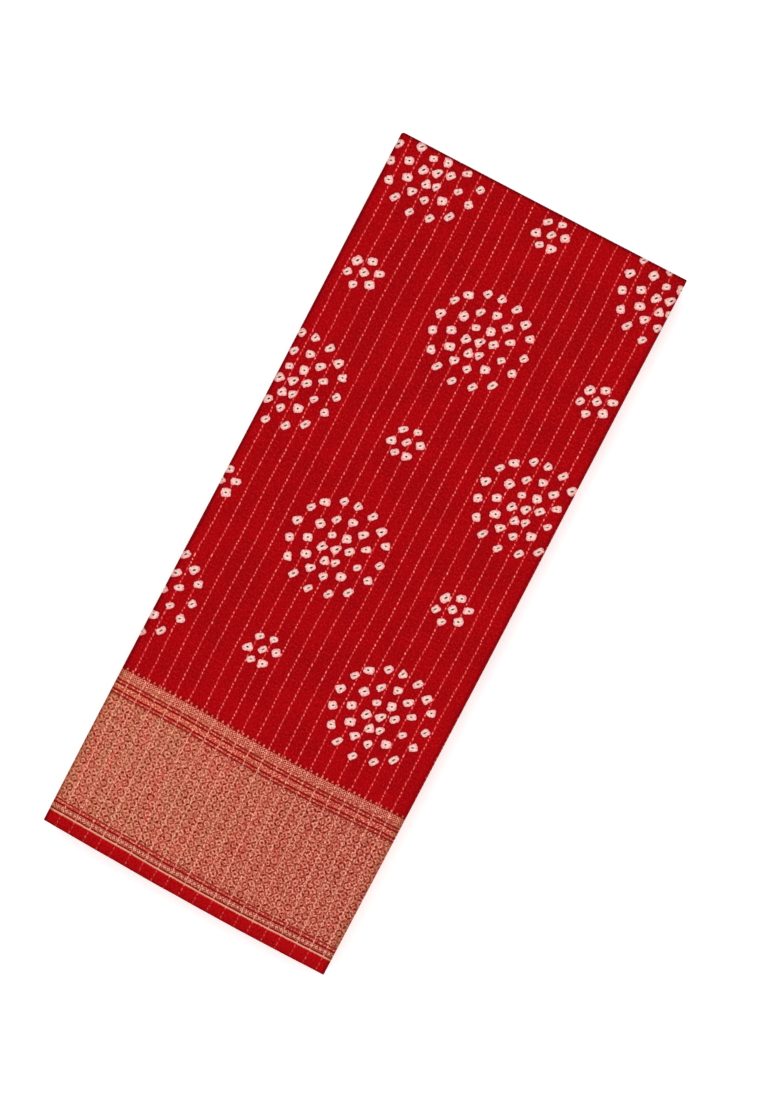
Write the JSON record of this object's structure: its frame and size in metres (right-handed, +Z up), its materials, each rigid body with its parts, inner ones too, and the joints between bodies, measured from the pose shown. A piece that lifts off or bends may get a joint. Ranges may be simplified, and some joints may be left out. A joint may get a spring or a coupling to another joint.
{
  "type": "printed saree",
  "caption": "Printed saree folded into a flat packet, with tie-dye style dot medallions, woven stripes and a brocade border along one end.",
  "frame": {"origin": "centre of the bounding box in X and Y, on the underside of the lowest layer", "axes": "+Y along the packet towards its long fold, with the woven edges at -Y; +X across the packet; +Z up, out of the top panel"},
  "size_m": [0.2358, 0.5752, 0.0316],
  "materials": {
    "cloth": "soft woven cloth dyed red, with a slight sheen"
  },
  "bodies": {
    "root": {"saree": "cloth"}
  },
  "joints": []
}
